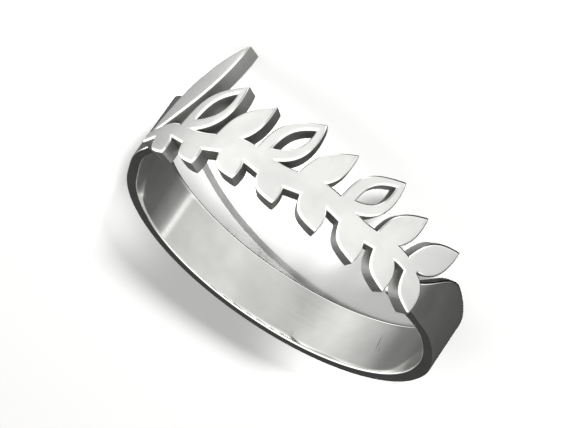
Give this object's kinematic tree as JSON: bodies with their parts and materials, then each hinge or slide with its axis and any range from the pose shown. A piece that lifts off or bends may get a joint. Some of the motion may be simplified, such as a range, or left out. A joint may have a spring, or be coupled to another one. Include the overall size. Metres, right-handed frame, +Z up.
{
  "type": "name ring",
  "caption": "Polished silver finger ring: a flat band whose widened shoulders carry a curved front panel, cut through as a leafy branch where a name would be.",
  "frame": {"origin": "middle of the bounding box, on the surface that the ring lies on", "axes": "+Z up from that surface, -Y towards the pierced panel, and the branch grows towards -X; the finger's axis leans about 10 degrees from +Z, because the tall leaf's tip stands past the band's far rim"},
  "size_m": [0.0188, 0.02, 0.0074],
  "materials": {
    "polished_silver": "polished sterling silver"
  },
  "bodies": {
    "root": {"ring": "polished_silver"}
  },
  "joints": []
}
